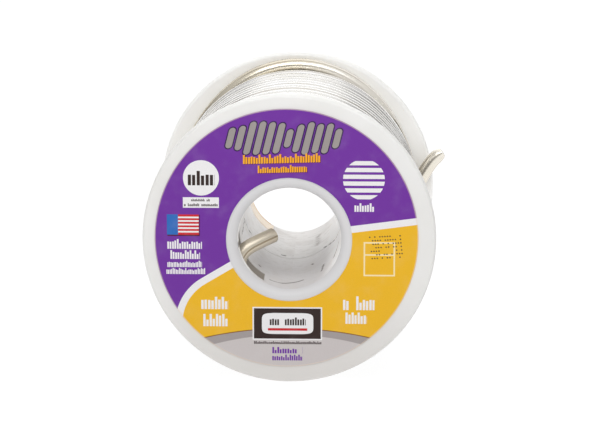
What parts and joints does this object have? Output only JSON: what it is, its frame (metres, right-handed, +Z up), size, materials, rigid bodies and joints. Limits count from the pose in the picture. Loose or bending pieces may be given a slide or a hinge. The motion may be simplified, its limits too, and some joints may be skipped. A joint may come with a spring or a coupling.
{
  "type": "solder wire spool",
  "caption": "Flanged plastic spool with a through bore, paper ring labels on both ends and thick bare solder wire wound in layers, one end in the bore and the other standing free.",
  "frame": {"origin": "centre of the spool, on the bore's axis midway between the flanges' outer faces", "axes": "+Y along the bore from the front flange to the rear flange, +Z up as the spool stands on its rims, +X to the right seen from the front"},
  "size_m": [0.0608, 0.0556, 0.058],
  "materials": {
    "spool_plastic": "white moulded polystyrene, satin, slightly translucent",
    "label_paper": "coated paper label, semi-gloss print",
    "solder": "bright drawn tin alloy wire, warm silver"
  },
  "bodies": {
    "spool": {"front_half": "spool_plastic", "rear_half": "spool_plastic", "front_label": "label_paper", "rear_label": "label_paper", "wound_wire": "solder", "last_turn": "solder", "start_end": "solder"},
    "free_end": {"free_end": "solder"}
  },
  "joints": [
    {"name": "free_end_bend", "type": "hinge", "parent": "spool", "child": "free_end", "pos_m": [0.02575, 0.0228, -0.00362], "axis": [0, 1, 0], "range_deg": [-10, 70]}
  ]
}
